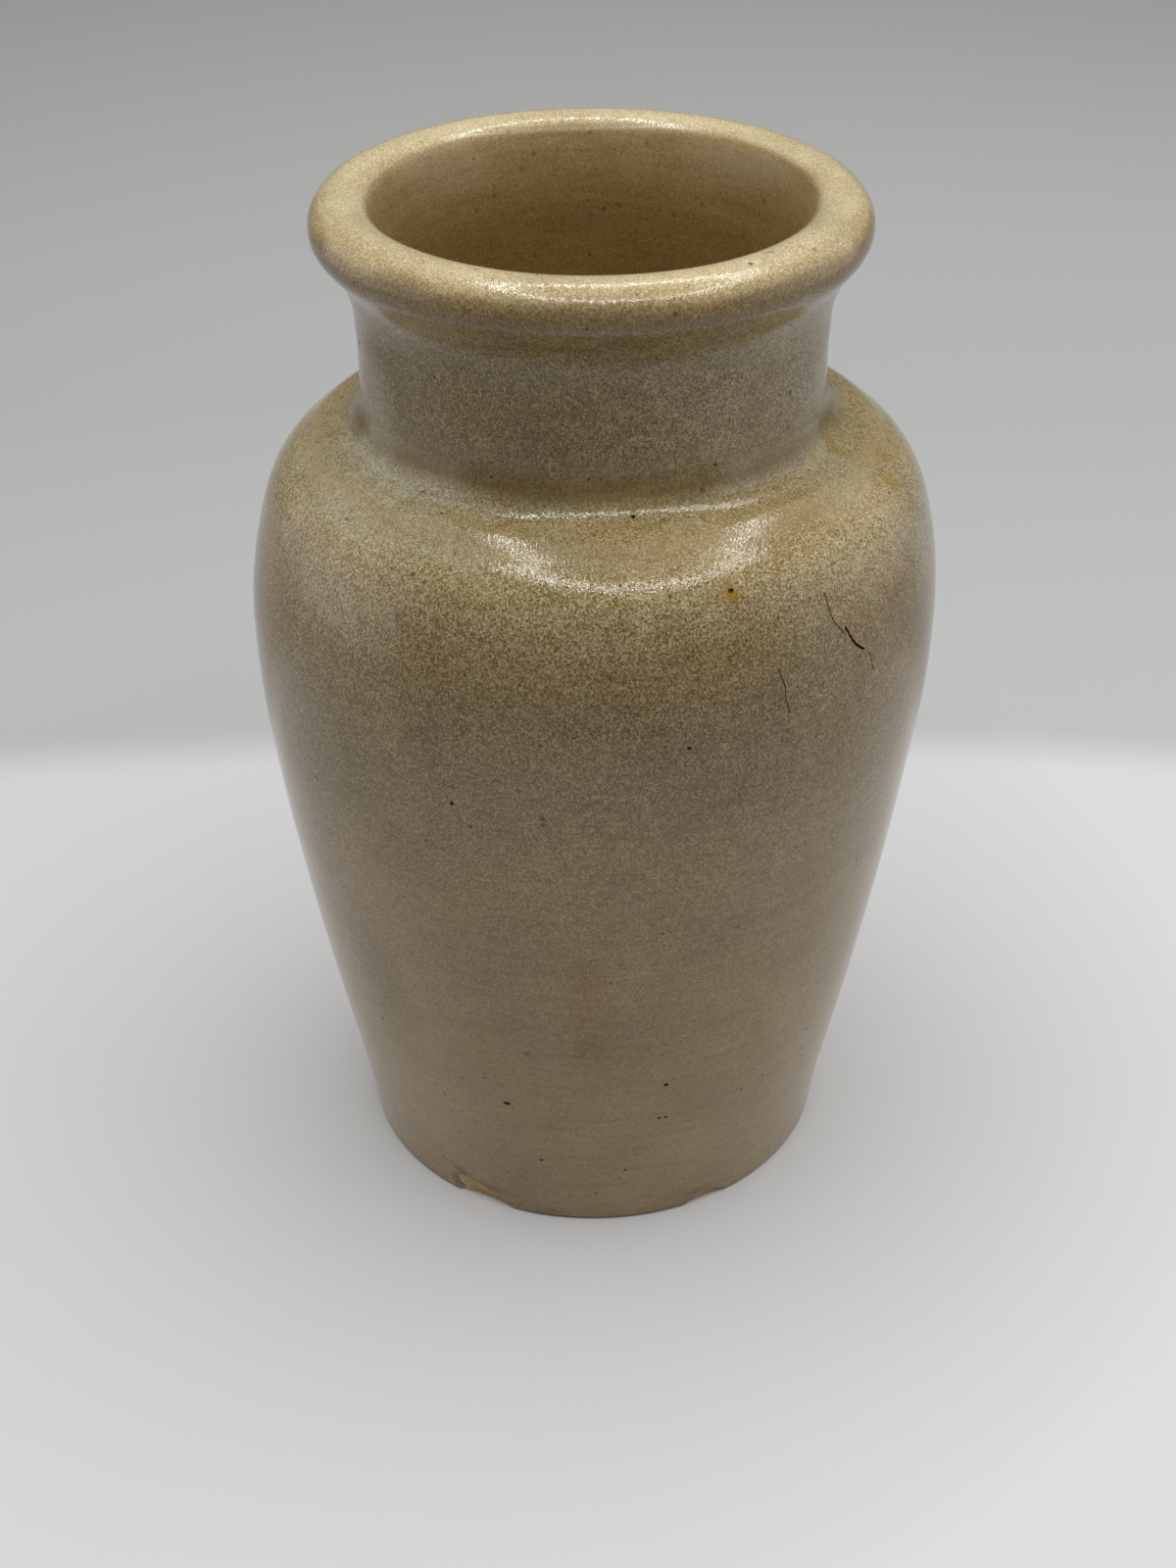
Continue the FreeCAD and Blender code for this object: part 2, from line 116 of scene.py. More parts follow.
# Points along a run at an even spacing, on curves that touch it as its arcs do
def evenly(run, spacing, fineStep=0.05):
    ways = []
    for i, point in enumerate(run):
        back = point - run[i - 1] if i else run[1] - point
        onward = run[i + 1] - point if i + 1 < len(run) else point - run[i - 1]
        ways.append((back * back.length + onward * onward.length).normalized())
    fine = []
    for i in range(len(run) - 1):
        reach = (run[i + 1] - run[i]).length / 3
        steps = max(2, round(reach * 3 / fineStep))
        piece = geometry.interpolate_bezier(run[i], run[i] + ways[i] * reach,
                                            run[i + 1] - ways[i + 1] * reach, run[i + 1], steps + 1)
        fine += piece[:-1]
    fine.append(run[-1])
    travelled = [0]
    for a, b in zip(fine, fine[1:]):
        travelled.append(travelled[-1] + (b - a).length)
    count = max(1, round(travelled[-1] / spacing))
    even, i = [fine[0]], 0
    for step in range(1, count):
        target = travelled[-1] * step / count
        while travelled[i + 1] < target:
            i += 1
        share = (target - travelled[i]) / (travelled[i + 1] - travelled[i])
        even.append(fine[i].lerp(fine[i + 1], share))
    return even + [fine[-1]]


# Hidden sides: their points lie closer together under the ledge
hidden = {
    "ledgeFrom": 20,         # radius
    "ledgeHeights": (75, 84),
    "closer": 3,             # times
}


def underneath(run, spacing):
    fine = evenly(run, spacing / hidden["closer"])
    low, high = hidden["ledgeHeights"]
    kept = []
    for i, point in enumerate(fine):
        underLedge = point.x > hidden["ledgeFrom"] and low < point.z < high
        if underLedge or i % hidden["closer"] == 0 or i == len(fine) - 1:
            kept.append(point)
    return kept


# Spins runs of (points, whether they show) about the pot's axis into a closed shell: first one
# slice of the turn, then copies of the slice round the rest
def turned(runs, slices, stepsPerSlice):
    bm = bmesh.new()
    shows = bm.verts.layers.float.new("shows")
    before = None
    for points, isShown in runs:
        for point in points:
            here = bm.verts.new(point * mm)
            here[shows] = 1 if isShown else 0
            if before:
                bm.edges.new((before, here))
            before = here
    bmesh.ops.remove_doubles(bm, verts=bm.verts, dist=1e-7)
    sliceTurn = 2 * math.pi / slices
    about = {"cent": (0, 0, 0), "axis": (0, 0, 1), "dvec": (0, 0, 0), "use_merge": False}
    bmesh.ops.spin(bm, geom=bm.verts[:] + bm.edges[:], angle=sliceTurn, steps=stepsPerSlice,
                   use_duplicate=False, **about)
    bmesh.ops.spin(bm, geom=bm.verts[:] + bm.edges[:] + bm.faces[:], angle=2 * math.pi - sliceTurn,
                   steps=slices - 1, use_duplicate=True, **about)
    bmesh.ops.remove_doubles(bm, verts=bm.verts, dist=1e-6)
    bmesh.ops.recalc_face_normals(bm, faces=bm.faces)
    bm.normal_update()
    return bm, shows


# What the thrower's hands left

# The pot leans and sways a little, sags at the front of its rim and is not quite round
throwing = {
    "lean": {0: -0.23, 40: -0.22, 60: 0.0, 71: 0.2, 77: 0.18, 82: -0.03, 93: -0.05, 97: -0.18},
    "rimSag": 0.17,          # front of the rim below its middle
    "rimSagFrom": 84,
    "rimReach": 24.8,        # of the rim's front from the axis
    "flattening": 0.12,      # of the front and back
    "flatteningTurn": 12,
}


def azimuthOf(place):
    return math.atan2(place.x, -place.y)


def thrown(place):
    height = place.z / mm
    radius = math.hypot(place.x, place.y) / mm
    azimuth = azimuthOf(place)
    turn = azimuth - math.radians(throwing["flatteningTurn"])
    inward = throwing["flattening"] * math.cos(turn) ** 2 * (radius / bellyRadius)
    scale = 1 - inward / radius if radius > 1 else 1
    sag = throwing["rimSag"] * smooth(throwing["rimSagFrom"], potHeight, height)
    drop = sag * (place.y / mm / throwing["rimReach"] - 1)
    place.x = place.x * scale + eased(throwing["lean"], height) * mm
    place.y = place.y * scale
    place.z += drop * mm


# The ledge: by radius, how far it lies above the plain turned cone, with a hollow beside the neck
# and a soft roll towards the shoulder. The clay below goes with it.
ledge = {
    "rise": {21.3: 0, 22.9: -0.95, 23.4: -0.85, 25.2: 0.0, 26.2: 0.12, 27.2: -0.02, 28.0: 0},
    "height": (79.55, 23.44),    # of the cone at a radius
    "fall": 0.74,
    "fade": (1.2, 3),            # depths below the cone where the form dies out
    "drift": (0.08, 9),          # wander of the radii, and the size of its waves
}


def ledgeForm(place):
    radius = math.hypot(place.x, place.y) / mm
    if not min(ledge["rise"]) < radius < max(ledge["rise"]):
        return
    height, middle = ledge["height"]
    below = height - ledge["fall"] * (radius - middle) - place.z / mm
    whole, gone = ledge["fade"]
    if -gone < below < gone:
        wander, waves = ledge["drift"]
        drift = wander * noise.noise(Vector((place.x, place.y, 0)) / (waves * mm))
        place.z += eased(ledge["rise"], radius + drift) * (1 - smooth(whole, gone, below)) * mm


# Fine relief of the outside
relief = {
    # height, rise and half width of each band
    "neckBands": [(94.6, 0.05, 0.5), (93.4, -0.05, 0.6), (88.5, 0.03, 1.6), (86.0, -0.03, 1.2)],
    "bandDrift": (0.35, 16), # wander of the bands' heights, and the size of its waves
    "neck": (82, 96, 24.6),  # from, to and within this radius
    "swell": 0.05,           # slow hollows of the surface
    "swellSize": 14.0,
    "sink": 0.6,             # swells, so that nothing stands proud of the plain coat
    "turning": 0.014,        # faint turning lines
    "turningSize": (60, 3.2),
    "mouth": (20, 80),       # inside this radius and above this height
    "mouthFade": (91.5, 96), # no relief down in the mouth, where the lining begins
    "footFade": (0.4, 2),
}


def bump(value, centre, width):
    return math.exp(-((value - centre) / width) ** 2)


def outsideRelief(place):
    height = place.z / mm
    radius = math.hypot(place.x, place.y) / mm
    level = Vector((place.x, place.y, 0)) / mm
    rise = 0
    neckFrom, neckTo, neckWithin = relief["neck"]
    if radius < neckWithin and neckFrom < height < neckTo:
        wander, waves = relief["bandDrift"]
        drift = wander * noise.noise(level / waves)
        for middle, lift, width in relief["neckBands"]:
            rise += lift * bump(height + drift, middle, width)
    rise += relief["swell"] * (noise.noise(place / (relief["swellSize"] * mm)) - relief["sink"])
    along, across = relief["turningSize"]
    rise += relief["turning"] * noise.noise(Vector((level.x / along, level.y / along, height / across)))
    mouthRadius, mouthFrom = relief["mouth"]
    if radius < mouthRadius and height > mouthFrom:
        rise *= smooth(*relief["mouthFade"], height)
    return rise * smooth(*relief["footFade"], height) * mm


# Fineness and relief of the lining
lining = {
    "slices": 16,
    "stepsPerSlice": 16,
    "faceSpacing": 1.1,
    "backSpacing": 2.5,
    "swell": 0.06,
    "swellSize": 11.0,
    "rings": 0.03,
    "ringSize": (50, 4.5),
    "topDepth": 9,           # of the lining's upper edge below the rim, where the relief dies out
    "topFade": 4,
}


def liningRelief(place):
    rise = lining["swell"] * noise.noise(place / (lining["swellSize"] * mm))
    along, across = lining["ringSize"]
    rings = Vector((place.x / (along * mm), place.y / (along * mm), place.z / (across * mm)))
    rise += lining["rings"] * noise.noise(rings)
    below = potHeight - lining["topDepth"] - place.z / mm
    return rise * smooth(0, lining["topFade"], below) * mm


# Moves the shown side by its relief, then the whole piece with the throwing, and makes the object
def pieceFrom(bm, shows, name, reliefOf=None):
    if reliefOf:
        moves = [(v, v.normal * reliefOf(v.co)) for v in bm.verts if v[shows] > 0.5]
        for v, move in moves:
            v.co += move
    for v in bm.verts:
        ledgeForm(v.co)
        thrown(v.co)
    bm.verts.layers.float.remove(shows)
    markSharp(bm)
    mesh = bpy.data.meshes.new(name)
    bm.to_mesh(mesh)
    bm.free()
    piece = bpy.data.objects.new(name, mesh)
    bpy.context.scene.collection.objects.link(piece)
    return piece


def markSharp(bm, angle=32):
    for face in bm.faces:
        face.smooth = True
    for edge in bm.edges:
        edge.smooth = not (edge.is_manifold and edge.calc_face_angle(0) > math.radians(angle))


# Fineness of the outside coat: parts of the turn, and spacing along its shown and hidden sides
outsideCoat = {
    "slices": 20,
    "stepsPerSlice": 20,
    "faceSpacing": 0.7,
    "backSpacing": 3.0,
}


def buildOutsideGlaze():
    runs = sectionRuns("outside_glaze")
    widest = max(runs, key=lambda run: max(p.x for p in run))
    spaced = []
    for run in runs:
        if run is widest:
            spaced.append((evenly(run, outsideCoat["faceSpacing"]), True))
        else:
            spaced.append((underneath(run, outsideCoat["backSpacing"]), False))
    bm, shows = turned(spaced, outsideCoat["slices"], outsideCoat["stepsPerSlice"])
    return pieceFrom(bm, shows, "outsideGlazeCoat", outsideRelief)


def buildLiningGlaze():
    runs = sectionRuns("lining_glaze")
    longest = sorted(runs, key=len)[-2:]
    face = min(longest, key=lambda run: max(p.x for p in run))
    spaced = []
    for run in runs:
        isFace = run is face
        spaced.append((evenly(run, lining["faceSpacing"] if isFace else lining["backSpacing"]), isFace))
    bm, shows = turned(spaced, lining["slices"], lining["stepsPerSlice"])
    return pieceFrom(bm, shows, "liningGlazeCoat", liningRelief)


# Fineness and foot of the clay
clay = {
    "slices": 16,
    "stepsPerSlice": 18,
    "spacing": 1.6,
    "cornerTurn": 12,
    "footSpacing": 0.35,
    "footUnder": 6.5,        # the foot's runs lie below this height and have few points
    "footPoints": 12,
    "footEdge": 23.75,
    "footWear": 0.25,
    "footRound": 0.5,
}


# The outer edge of the foot is rubbed round
def footRelief(place):
    radius = math.hypot(place.x, place.y) / mm
    away = math.hypot(radius - clay["footEdge"], place.z / mm)
    return -clay["footWear"] * bump(away, 0, clay["footRound"]) * mm


def buildClayBody():
    spaced = []
    for run in sectionRuns("stoneware_body", clay["cornerTurn"]):
        isFoot = max(p.z for p in run) < clay["footUnder"] and len(run) < clay["footPoints"]
        points = evenly(run, clay["footSpacing"]) if isFoot else underneath(run, clay["spacing"])
        spaced.append((points, isFoot))
    bm, shows = turned(spaced, clay["slices"], clay["stepsPerSlice"])
    return pieceFrom(bm, shows, "clayBody", footRelief)


# Worn and damaged places

# Chips are azimuth, radius, height, half sizes along, out and up, and lean of their left end;
# pits are azimuth, height and half sizes along, in and up
wear = {
    "outside": 50,            # radius that clears the pot
    "chips": [
        (-28.5, 24.75, 0.45, (5.0, 1.75, 2.0), 19), (28, 24.5, -0.2, (3.3, 1.35, 1.8), 0),
        (13, 24.25, -0.15, (0.9, 0.55, 0.6), 0), (118, 24.5, -0.1, (2.6, 0.9, 0.9), -8),
        (-141, 24.6, 0.0, (1.7, 1.0, 1.1), 10),
    ],
    "chipRoughness": 0.1,
    "chipLumps": (2.1, 5.3),  # of coarse and fine unevenness, per half size
    "chipApart": 900,         # so that no two chips are alike
    "pits": [
        (-18.9, 17.2, (0.4, 0.3, 0.22)), (14.1, 20.4, (0.26, 0.25, 0.2)), (14.8, 15.4, (0.2, 0.22, 0.17)),
        (13.3, 15.45, (0.2, 0.2, 0.15)), (-12.6, 9.0, (0.2, 0.2, 0.15)), (6.5, 7.7, (0.16, 0.2, 0.14)),
        (-22.7, 55.3, (0.2, 0.24, 0.2)), (14.1, 61.8, (0.2, 0.22, 0.18)), (8.1, 79.1, (0.22, 0.22, 0.16)),
        (22.6, 74.5, (0.26, 0.2, 0.2)), (-75.3, 87.65, (0.2, 0.22, 0.2)), (-160, 44.0, (0.26, 0.25, 0.2)),
        (105, 69.0, (0.22, 0.22, 0.2)), (-112, 22.0, (0.25, 0.25, 0.2)), (170, 60.5, (0.2, 0.22, 0.18)),
    ],
    "crackSteps": 4,          # between two places of a crack
    "crackWander": (0.15, 0.06),
    "crackWaves": 3.1,
    "crackAbove": 0.15,       # reach of the cut above the glaze
    # runs of azimuth and height, with half the width of each crack and its depth
    "cracks": [
        ([(39.6, 72.5), (39.9, 71.4), (40.3, 70.2), (41.2, 69.3), (42.5, 68.4)], 0.05, 0.4),
        ([(43.0, 68.9), (43.6, 68.2), (44.5, 67.3), (45.6, 66.6), (46.9, 66.0)], 0.11, 0.7),
        ([(47.6, 65.55), (48.3, 65.1), (48.6, 64.6), (48.7, 64.1), (49.2, 63.4)], 0.045, 0.4),
        ([(29.0, 67.5), (29.6, 66.7), (30.2, 65.7), (30.2, 64.6), (30.9, 63.0)], 0.05, 0.45),
        ([(-101, 63.5), (-100, 61.9), (-98.6, 60.7), (-98.4, 59.2)], 0.05, 0.4),
    ],
}


# A closed shell that takes the worn places out of the clay and its glaze, set on the coat's own
# surface. Its faces carry the number of the material that the cut shows: 0 for the piece's own, 1
# for the near-black painted shade of pits and cracks.
def buildWear(coat):
    surface = BVHTree.FromObject(coat, bpy.context.evaluated_depsgraph_get())
    bm = bmesh.new()

    def outwardAt(azimuth):
        turn = math.radians(azimuth)
        return Vector((math.sin(turn), -math.cos(turn), 0))

    def faceAt(azimuth, height):
        outward = outwardAt(azimuth)
        start = outward * wear["outside"] * mm + Vector((0, 0, height * mm))
        place, normal, index, distance = surface.ray_cast(start, -outward)
        return place, normal

    def lump(place, outward, halves, lean, roughness, finish):
        along = Vector((0, 0, 1)).cross(outward).normalized()
        up = outward.cross(along)
        coarse, fine = wear["chipLumps"]
        made = bmesh.ops.create_icosphere(bm, subdivisions=4 if roughness else 3, radius=1)
        tip = Matrix.Rotation(math.radians(lean), 4, "Y")
        lay = Matrix((along, outward, up)).transposed().to_4x4() @ tip
        for v in made["verts"]:
            uneven = noise.noise(v.co * coarse + place * wear["chipApart"])
            uneven += 0.5 * noise.noise(v.co * fine)
            reach = 1 + roughness * uneven
            v.co = place + lay @ Vector([c * h * mm * reach for c, h in zip(v.co, halves)])
            for face in v.link_faces:
                face.material_index = finish

    # A line above the glaze is extruded down into the clay, deepest in its middle, and thickened
    def crack(run, halfWidth, depth):
        fine = []
        steps = wear["crackSteps"]
        for (turnA, heightA), (turnB, heightB) in zip(run, run[1:]):
            for share in [step / steps for step in range(steps)]:
                fine.append((turnA + (turnB - turnA) * share, heightA + (heightB - heightA) * share))
        fine.append(run[-1])
        waves = wear["crackWaves"]
        aside, aloft = wear["crackWander"]
        line, drops = [], []
        for i, (azimuth, height) in enumerate(fine):
            wander = noise.noise(Vector((azimuth * waves, height * waves, 0)))
            place, normal = faceAt(azimuth + aside * wander, height + aloft * wander)
            share = (i + 0.35) / (len(fine) - 0.3)      # within 0 and 1, so that the ends cut too
            deep = depth * math.sin(math.pi * share) ** 0.5
            line.append(bm.verts.new(place + normal * wear["crackAbove"] * mm))
            drops.append(normal * (deep + wear["crackAbove"]) * mm)
        edges = [bm.edges.new(pair) for pair in zip(line, line[1:])]
        made = bmesh.ops.extrude_edge_only(bm, edges=edges)["geom"]
        for high, drop in zip(line, drops):
            down = next(edge for edge in high.link_edges if edge not in edges)
            down.other_vert(high).co -= drop
        ribbon = [part for part in made if isinstance(part, bmesh.types.BMFace)]
        # the crack's cut faces take the near-black painted shade, material 1
        for face in ribbon:
            face.material_index = 1
            face.normal_update()
        across = drops[0].cross(line[1].co - line[0].co)
        if ribbon[0].normal.dot(across) < 0:
            bmesh.ops.reverse_faces(bm, faces=ribbon)
        around = {part for face in ribbon for part in (*face.edges, *face.verts)}
        bmesh.ops.solidify(bm, geom=ribbon + list(around), thickness=halfWidth * 2 * mm)

    for azimuth, radius, height, halves, lean in wear["chips"]:
        outward = outwardAt(azimuth)
        place = outward * radius * mm + Vector((0, 0, height * mm))
        lump(place, outward, halves, lean, wear["chipRoughness"], 0)
    # pits take the near-black painted shade, material 1
    for azimuth, height, halves in wear["pits"]:
        place, normal = faceAt(azimuth, height)
        lump(place, normal, halves, 0, 0, 1)
    for run, halfWidth, depth in wear["cracks"]:
        crack(run, halfWidth, depth)
    bmesh.ops.recalc_face_normals(bm, faces=bm.faces)
    mesh = bpy.data.meshes.new("wearCutter")
    bm.to_mesh(mesh)
    bm.free()
    cutter = bpy.data.objects.new("wearCutter", mesh)
    bpy.context.scene.collection.objects.link(cutter)
    return cutter


# Takes the cutter out of a piece for good
def worn(piece, cutter):
    change = piece.modifiers.new("wear", "BOOLEAN")
    change.operation = "DIFFERENCE"
    change.solver = "EXACT"
    change.material_mode = "INDEX"
    change.object = cutter
    cut = bpy.data.meshes.new_from_object(piece.evaluated_get(bpy.context.evaluated_depsgraph_get()))
    piece.modifiers.clear()
    plain = piece.data
    piece.data = cut
    bpy.data.meshes.remove(plain)
    cut.name = piece.name
    bm = bmesh.new()
    bm.from_mesh(cut)
    markSharp(bm)
    bm.to_mesh(cut)
    bm.free()


# Materials

def toLinear(code):
    channels = [int(code[i:i + 2], 16) / 255 for i in (1, 3, 5)]
    return [c / 12.92 if c <= 0.04045 else ((c + 0.055) / 1.055) ** 2.4 for c in channels] + [1]


# Settings that many nodes share
plus = {"operation": "ADD"}
minus = {"operation": "SUBTRACT"}
times = {"operation": "MULTIPLY"}
timesPlus = {"operation": "MULTIPLY_ADD"}
over = {"operation": "DIVIDE"}
lengthOf = {"operation": "LENGTH"}
easing = {"interpolation_type": "SMOOTHSTEP"}
blending = {"data_type": "RGBA"}                             # sockets 6 and 7 are the colours
tinting = {"data_type": "RGBA", "blend_type": "MULTIPLY"}


# Adds a node with its settings, its inputs and, on a ramp, its stops {place: colour or grey}. An
# input is a value, an output or a node, which stands for its first output in use
def addNode(tree, kind, settings=None, inputs=(), stops=None):
    node = tree.nodes.new("ShaderNode" + kind)
    for name, value in (settings or {}).items():
        setattr(node, name, value)
    for socket, value in (inputs.items() if isinstance(inputs, dict) else enumerate(inputs)):
        if isinstance(value, bpy.types.Node):
            value = next(output for output in value.outputs if output.enabled)
        if isinstance(value, bpy.types.NodeSocket):
            tree.links.new(value, node.inputs[socket])
        else:
            node.inputs[socket].default_value = value
    if stops:
        elements = node.color_ramp.elements
        elements.remove(elements[-1])
        for i, (place, value) in enumerate(sorted(stops.items())):
            element = elements.new(place) if i else elements[0]
            element.position = place
            element.color = toLinear(value) if isinstance(value, str) else (value, value, value, 1)
    return node


def newMaterial(name):
    material = bpy.data.materials.new(name)
    material.use_nodes = True
    material.node_tree.nodes.clear()
    return material, material.node_tree


# Object coordinates in millimetres, with the height and the distance from the axis
def measured(tree):
    metres = addNode(tree, "TexCoord").outputs["Object"]
    place = addNode(tree, "VectorMath", {"operation": "SCALE"}, {0: metres, "Scale": 1 / mm})
    height = addNode(tree, "SeparateXYZ", {}, [place]).outputs[2]
    level = addNode(tree, "VectorMath", times, (place, (1, 1, 0)))
    return place, height, addNode(tree, "VectorMath", lengthOf, [level])


# A field of lumps about size millimetres across, stretched along an axis where wanted
def lumpsOf(tree, place, size, detail, distortion=0.0, stretch=(1, 1, 1)):
    scaled = addNode(tree, "VectorMath", times, (place, [1 / (size * s) for s in stretch]))
    inputs = {"Vector": scaled, "Scale": 1.0, "Detail": detail, "Distortion": distortion}
    return addNode(tree, "TexNoise", {}, inputs)


# The same field about nought
def waverOf(tree, place, size, detail, distortion=0.0, stretch=(1, 1, 1)):
    return addNode(tree, "Math", minus, (lumpsOf(tree, place, size, detail, distortion, stretch), 0.5))


def byHeight(tree, height, stops):
    share = addNode(tree, "Math", over, (height, potHeight))
    shares = {place / potHeight: value for place, value in stops.items()}
    return addNode(tree, "ValToRGB", {}, [share], shares)


# Marks that are painted into the coat's attributes, each as azimuth, height, half its width and
# half its height in millimetres, and strength. Most are stains of the glaze; the umber marks are
# partly painted shade.
stainsAndShade = {
    "brown": [
        (44, 85.5, 3.2, 5.2, 1.0), (44, 90.5, 1.6, 2.5, 0.4), (48, 80.8, 3.6, 1.6, 0.9),
        (56, 94.6, 3.5, 0.7, 0.5), (-1.5, 33.0, 2.2, 6.0, 0.55), (-1.0, 26.5, 2.2, 2.4, 0.5),
        (3.0, 38.0, 2.2, 3.0, 0.25), (43, 58.5, 2.6, 5.5, 0.45), (47, 66.0, 1.8, 4.0, 0.6),
        (41, 70.0, 1.6, 2.4, 0.3), (61, 64.0, 5.0, 10.0, 0.55), (-64, 66.0, 5.0, 8.0, 0.35),
        (14, 67.0, 9.0, 3.8, 0.1), (-33, 70.0, 5.5, 3.4, 0.15), (-21, 79.9, 1.6, 0.35, 0.9),
        (30, 30.0, 5.0, 9.0, 0.15), (-51, 78.05, 7.0, 0.16, 0.9), (120, 60.0, 5.0, 9.0, 0.5),
        (165, 74.0, 9.0, 3.0, 0.45), (-120, 66.0, 6.0, 5.0, 0.45), (-155, 30.0, 2.5, 8.0, 0.45),
        (95, 25.0, 3.0, 6.0, 0.3), (-140, 86.0, 3.0, 4.0, 0.5),
    ],
    "grey": [
        (-26.6, 61.8, 1.9, 3.0, 0.65), (-24, 63.0, 3.4, 3.0, 0.2), (-45, 27.0, 3.2, 6.5, 0.55),
        (-33, 47.0, 3.5, 3.0, 0.25), (12, 62.0, 3.8, 2.6, 0.3), (26, 62.4, 3.8, 2.8, 0.25),
        (10, 24.0, 6.0, 7.0, 0.25), (33, 97.9, 4.0, 0.5, 0.5), (-38, 97.9, 4.5, 0.5, 0.4),
        (62, 99.4, 2.0, 0.5, 0.3), (-78, 98.9, 3.0, 0.5, 0.3), (20, 96.6, 6.0, 0.7, 0.4),
        (-20, 96.4, 6.0, 0.8, 0.4), (150, 58.0, 4.0, 4.0, 0.5), (7, 95.0, 2.4, 0.5, 0.7),
        (-100, 35.0, 5.0, 5.0, 0.35), (-170, 64.0, 3.0, 3.0, 0.5), (100, 98.8, 4.0, 0.8, 0.5),
    ],
    "pale": [
        (-58, 78.9, 11.0, 0.9, 1.0), (-36, 79.3, 6.0, 0.6, 1.0), (-55, 77.6, 14.0, 1.4, 0.5),
        (-36, 76.6, 9.0, 0.35, 0.6), (-70, 76.6, 8.0, 1.6, 0.5), (60, 78.2, 5.0, 1.4, 0.5),
        (-44, 79.6, 10.0, 0.4, 0.5), (50, 79.6, 12.0, 0.5, 0.5), (-45, 76.2, 13.0, 0.8, 0.55),
        (50, 87.0, 12.0, 6.0, 0.3), (38, 79.6, 3.0, 0.5, 0.4), (62, 82.0, 2.0, 2.5, 0.15),
        (-8, 79.5, 5.0, 0.4, 0.4), (-48, 70.5, 6.0, 3.0, 0.3), (75, 70.0, 5.0, 6.0, 0.4),
        (150, 79.4, 9.0, 1.0, 0.6), (-140, 79.4, 9.0, 1.0, 0.6), (-75, 88.0, 3.0, 3.5, 0.4),
        (-62, 83.0, 3.0, 3.5, 0.4),
    ],
    # umber: brown spots, and painted shade along the chips' upper edges, the foot's lower edge and under
    # the rim's roll
    "umberAndShade": [
        (-34.5, 3.3, 0.8, 0.7, 1.0), (-29, 2.5, 3.2, 0.35, 0.7), (27, 2.0, 2.6, 0.3, 0.5),
        (-3, 0.75, 12.0, 0.3, 0.5), (30, 93.9, 5.5, 0.45, 0.4), (-4, 94.2, 6.0, 0.4, 0.5),
        (-24, 93.4, 4.0, 0.45, 0.4), (10, 92.6, 5.0, 0.35, 0.35), (-1.0, 27.0, 1.2, 0.9, 0.3),
        (22.4, 74.4, 0.2, 0.22, 0.9), (-21, 79.3, 1.2, 0.2, 0.6),
    ],
    "ochre": [
        (22.4, 74.45, 0.66, 0.7, 1.0), (22.9, 74.05, 0.45, 0.4, 0.9), (69, 79.8, 0.8, 0.5, 0.6),
        (67.6, 78.9, 0.7, 0.5, 0.5), (58.8, 80.0, 0.9, 0.45, 0.55), (75.5, 77.2, 0.7, 0.6, 0.5),
        (70.5, 76.0, 0.8, 0.7, 0.6), (-150, 70.0, 0.6, 0.6, 0.9), (140, 52.0, 0.5, 0.5, 0.7),
    ],
}


# Uneven edges of the marks: sizes of the coarse and the fine wander, share of the fine one, reach of
# both, and the fade, in half sizes of a mark
markEdge = {
    "coarse": 1.3,
    "fine": 0.5,
    "fineShare": 0.6,
    "wander": 0.45,
    "fade": (0.2, 1.7),
    "furthest": 2.2,
}


# Writes each kind of mark, stains and painted shade alike, into an attribute of the mesh
def paintStainsAndShade(mesh):
    values = {kind: [0.0] * len(mesh.vertices) for kind in stainsAndShade}
    for vert in mesh.vertices:
        place = vert.co / mm
        radius = math.hypot(place.x, place.y)
        azimuth = azimuthOf(place)
        wander = noise.noise(place / markEdge["coarse"])
        wander += markEdge["fineShare"] * noise.noise(place / markEdge["fine"])
        for kind, marks in stainsAndShade.items():
            value = 0.0
            for turn, height, halfWidth, halfHeight, strength in marks:
                up = (place.z - height) / halfHeight
                if abs(up) > markEdge["furthest"]:
                    continue
                away = (azimuth - math.radians(turn) + math.pi) % (2 * math.pi) - math.pi
                reach = math.hypot(away * radius / halfWidth, up) + markEdge["wander"] * wander
                value = max(value, strength * (1 - smooth(*markEdge["fade"], reach)))
            values[kind][vert.index] = value
    for kind in stainsAndShade:
        mesh.attributes.new(kind, "FLOAT", "POINT").data.foreach_set("value", values[kind])


